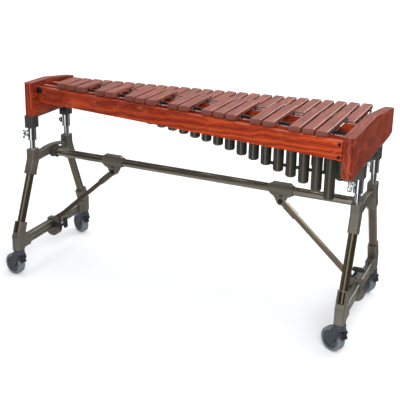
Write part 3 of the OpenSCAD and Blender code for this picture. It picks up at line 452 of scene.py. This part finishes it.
for node, obj in nodes.items():
    slot = NODE_SLOT[node]
    obj.data.materials.clear()
    obj.data.materials.append(NODE_MATERIALS.get(node) or MATERIALS.get(slot) or wood_for(node))
    if edge_width(node):
        soften(obj, edge_width(node))


# ---------- Cords and springs ----------


def layer(node, z_low, z_high):
    """The node's mesh corners between two heights."""
    return [v.co.copy() for v in nodes[node].data.vertices if z_low <= v.co.z <= z_high]


def tube(name, points, radius, body, slot, closed=False):
    """A round cord or wire through the points."""
    curve = bpy.data.curves.new(name, "CURVE")
    curve.dimensions = "3D"
    curve.bevel_depth = radius
    curve.bevel_resolution = 4
    curve.use_fill_caps = True
    spline = curve.splines.new("POLY")
    spline.points.add(len(points) - 1)
    for point, place in zip(spline.points, points):
        point.co = (*place, 1)
    spline.use_cyclic_u = closed
    spline.use_smooth = True
    obj = bpy.data.objects.new(name, curve)
    bpy.context.scene.collection.objects.link(obj)
    curve.materials.append(MATERIALS[slot])
    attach(obj, body)
    return obj


def corner_arc(before, corner, after, radius, steps=8):
    """Points that turn a corner on a quarter-like arc."""
    into, out = (before - corner).normalized(), (after - corner).normalized()
    start, end = corner + into * radius, corner + out * radius
    return [start.lerp(corner, t).lerp(corner.lerp(end, t), t) for t in (i / steps for i in range(steps + 1))]


CORD_R = 1.7 * MM
CORD_TURN = 5 * MM
WIRE_R = 0.6 * MM
COIL_R = 2.5 * MM
COIL_PITCH = 1.35 * MM
COIL_STEPS = 14
HOOK = 5 * MM
HOOK_TIP = 0.3 * HOOK
HOOK_BEND = 0.8 * HOOK
CORD_END = 0.6 * HOOK


def spring(name, start, end):
    """A close-wound spring from start to end along Y, with a straight hook left at each end."""
    turns = ((end - start).length - 2 * HOOK) / COIL_PITCH
    rise = 0.4 * COIL_R
    points = [start + Vector((0, HOOK_TIP, 0)), start + Vector((0, HOOK_BEND, rise))]
    for i in range(int(turns * COIL_STEPS) + 1):
        a = 2 * math.pi * i / COIL_STEPS
        along = HOOK + COIL_PITCH * i / COIL_STEPS
        points.append(start + Vector((COIL_R * math.sin(a), along, COIL_R * math.cos(a))))
    points += [end - Vector((0, HOOK_BEND, -rise)), end - Vector((0, HOOK_TIP, 0))]
    return tube(name, points, WIRE_R, "keyboard", "spring_steel")


def cord_and_spring(name, z_low, z_high):
    """One cord loop round a row of bars, with its spring in the crossing at the low end."""
    cord = layer("bar_cords", z_low, z_high)
    coil = layer("cord_springs", z_low, z_high)
    z = (min(v.z for v in cord) + max(v.z for v in cord)) / 2
    corners = {}
    for side, pick in (("high", min), ("low", max)):
        x = pick(v.x for v in cord)
        near_end = [v.y for v in cord if abs(v.x - x) < 2 * CORD_R]
        inset = CORD_R if side == "high" else -CORD_R
        corners[side, "near"] = Vector((x + inset, min(near_end) + CORD_R, z))
        corners[side, "far"] = Vector((x + inset, max(near_end) - CORD_R, z))
    start = Vector((corners["low", "near"].x, min(v.y for v in coil), z))
    end = Vector((corners["low", "near"].x, max(v.y for v in coil), z))
    order = [start, corners["low", "near"], corners["high", "near"], corners["high", "far"],
             corners["low", "far"], end]
    path = [start + Vector((0, CORD_END, 0))]
    for before, corner, after in zip(order, order[1:], order[2:]):
        path += corner_arc(before, corner, after, CORD_TURN)
    path.append(end - Vector((0, CORD_END, 0)))
    return tube(name + "_cord", path, CORD_R, "keyboard", "cord"), spring(name + "_spring", start, end)


cord_low, cord_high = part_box("bar_cords")
between_rows = (cord_low.z + cord_high.z) / 2
above_all = 2 * cord_high.z
for row, z_low, z_high in (("natural", 0, between_rows), ("sharp", between_rows, above_all)):
    cord_piece, spring_piece = cord_and_spring(row, z_low, z_high)
    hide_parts("bar_cords")
    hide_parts("cord_springs")


# ---------- Floor, light and camera ----------

# Heading about Z, half width (both in radians) and brightness of each upright strip that shiny parts mirror
MIRROR_STRIPS = [(math.radians(-90), 0.20, 1.5), (math.radians(-165), 0.20, 0.6), (math.radians(28), 0.22, 0.28)]
MIRROR_DARK = 0.06  # brightness between the strips
BACKDROP = [(math.radians(115), 0.85, 1.0)]


def facing_strips(g, toward, strips, base):
    """Grey that is bright towards each strip's heading and dark elsewhere, for what shiny parts mirror."""
    level_way = g.vector_math("NORMALIZE", g.vector_math("MULTIPLY", toward, (1, 1, 0)))
    total = None
    for heading, half_width, level in strips:
        nearness = g.vector_math("DOT_PRODUCT", level_way, (math.cos(heading), math.sin(heading), 0))
        edge = math.cos(half_width)
        strip = g.grey_ramp(nearness, [(edge - 0.03, base), (edge + 0.01, level)])
        total = strip if total is None else g.mix(1.0, total, strip, "LIGHTEN")
    return total


FLOOR_SIZE = 60


def studio_floor():
    """White paper that fades into the backdrop; shiny parts mirror a dim room with bright strips instead."""
    bpy.ops.mesh.primitive_plane_add(size=FLOOR_SIZE, location=(0, 0, 0))
    floor = bpy.context.object
    floor.name = "floor"
    g = Graph("floor_paper")
    place = g.coords()
    faint = g.noise(place, 3.0, 2.0)
    path = g.new("LightPath")
    lift = g.map_range(g.vector_math("LENGTH", place), source=(0.8, 5.0), target=(0.12, 0.75))
    g.set(base_color=g.ramp(faint, [(0.3, (0.90, 0.905, 0.925)), (0.7, (0.92, 0.925, 0.945))]), roughness=0.95,
          specular_ior_level=0.0, emission_color=(1, 1, 1, 1),
          emission_strength=g.math("MULTIPLY", path.outputs["Is Camera Ray"], lift))
    back = g.new("NewGeometry").outputs["Incoming"]
    paper = g.grey_ramp(g.split(back)["Z"], [(0.40, 0.0), (0.52, 0.95), (0.68, 0.55)])
    strips = facing_strips(g, g.vector_math("MULTIPLY", back, (-1, -1, -1)), MIRROR_STRIPS, MIRROR_DARK)
    mirrored = g.new("Emission")
    g.join(g.mix(1.0, strips, paper, "LIGHTEN"), mirrored, "Color")
    pick = g.new("MixShader")
    g.join(path.outputs["Is Glossy Ray"], pick, 0)
    g.join(g.surface.outputs["BSDF"], pick, 1)
    g.join(mirrored.outputs["Emission"], pick, 2)
    g.join(pick.outputs["Shader"], g.output, "Surface")
    floor.data.materials.append(g.owner)


WORLD_FILL = 0.58


def studio_world(fill):
    """White to the camera, a soft even fill, and strips and bands that give metal something to mirror."""
    g = Graph("studio", world=True)
    bpy.context.scene.world = g.owner
    heading = g.new("TexCoord").outputs["Generated"]
    height = g.map_range(g.split(heading)["Z"], source=(-1, 1))
    above = g.grey_ramp(height, [(0.80, 0.0), (0.90, 0.75), (1.0, 0.9)])
    behind = g.grey_ramp(height, [(0.54, 0.4), (0.60, 0.75), (0.68, 0.65), (0.74, 0.0)])
    behind = g.mix(1.0, behind, facing_strips(g, heading, BACKDROP, 0.0), "MULTIPLY")
    strips = g.mix(1.0, facing_strips(g, heading, MIRROR_STRIPS, MIRROR_DARK),
                   g.grey_ramp(height, [(0.78, 1.0), (0.86, 0.15)]), "MULTIPLY")
    color = g.mix(1.0, g.mix(1.0, above, behind, "LIGHTEN"), strips, "LIGHTEN")
    shiny, even, white = g.new("Background"), g.new("Background"), g.new("Background")
    g.join(color, shiny, "Color")
    even.inputs["Color"].default_value = (0.96, 0.98, 1.0, 1)
    even.inputs["Strength"].default_value = fill
    white.inputs["Color"].default_value = (1, 1, 1, 1)
    path = g.new("LightPath")
    first, second = g.new("MixShader"), g.new("MixShader")
    for mixer, ray, a, b in ((first, "Is Glossy Ray", even.outputs[0], shiny.outputs[0]),
                             (second, "Is Camera Ray", first.outputs[0], white.outputs[0])):
        g.join(path.outputs[ray], mixer, 0)
        g.join(a, mixer, 1)
        g.join(b, mixer, 2)
    g.join(second.outputs[0], g.output, "Surface")


def softbox(name, place, target, size, power):
    """A rectangular light of the given size and power in watts, facing the target."""
    light = bpy.data.lights.new(name, "AREA")
    light.shape = "RECTANGLE"
    light.size, light.size_y = size
    light.energy = power
    obj = bpy.data.objects.new(name, light)
    bpy.context.scene.collection.objects.link(obj)
    obj.location = place
    obj.rotation_euler = (Vector(target) - Vector(place)).to_track_quat("-Z", "Y").to_euler()


def studio_lights():
    middle = (0, 0, 0.5)
    softbox("key", (1.5, -2.3, 2.5), middle, (1.8, 1.8), 62)
    softbox("top", (-0.2, 0.4, 3.6), middle, (3.2, 2.2), 58)
    softbox("back_right", (2.0, 3.4, 2.2), (0.3, 0, 0.7), (2.0, 1.4), 48)


CAMERA_PLACE = Vector((1.2191, -2.6549, 1.4796))
CAMERA_YAW = 0.425
CAMERA_PITCH = 0.289
CAMERA_ROLL = 0.019
CAMERA_LENS = 71.24
CAMERA_SHIFT = {"shift_x": 0.003, "shift_y": -0.151}
SENSOR_WIDTH = 36


def photo_camera():
    """Camera at the photograph's viewing angle."""
    ahead = Vector((-math.sin(CAMERA_YAW) * math.cos(CAMERA_PITCH), math.cos(CAMERA_YAW) * math.cos(CAMERA_PITCH),
                    -math.sin(CAMERA_PITCH)))
    level = Vector((math.cos(CAMERA_YAW), math.sin(CAMERA_YAW), 0))
    upright = level.cross(ahead)
    right = level * math.cos(CAMERA_ROLL) + upright * math.sin(CAMERA_ROLL)
    up = -level * math.sin(CAMERA_ROLL) + upright * math.cos(CAMERA_ROLL)
    data = bpy.data.cameras.new("camera")
    data.sensor_width = SENSOR_WIDTH
    data.lens = CAMERA_LENS
    data.clip_start, data.clip_end = 0.05, 100
    camera = bpy.data.objects.new("camera", data)
    bpy.context.scene.collection.objects.link(camera)
    camera.matrix_world = Matrix((right, up, -ahead)).transposed().to_4x4()
    camera.location = CAMERA_PLACE
    bpy.context.scene.camera = camera
    # The lens shift belongs to this viewpoint alone: moved anywhere else, the camera has none.
    for name, amount in CAMERA_SHIFT.items():
        driver = data.driver_add(name).driver
        for axis in "xy":
            variable = driver.variables.new()
            variable.name = axis
            variable.type = "TRANSFORMS"
            variable.targets[0].id = camera
            variable.targets[0].transform_type = "LOC_" + axis.upper()
        driver.expression = (f"{amount} * (abs(x - {CAMERA_PLACE.x:.4f}) < 0.001)"
                             f" * (abs(y - {CAMERA_PLACE.y:.4f}) < 0.001)")


studio_floor()
studio_world(WORLD_FILL)
studio_lights()
photo_camera()
bpy.context.scene.view_settings.view_transform = "Standard"
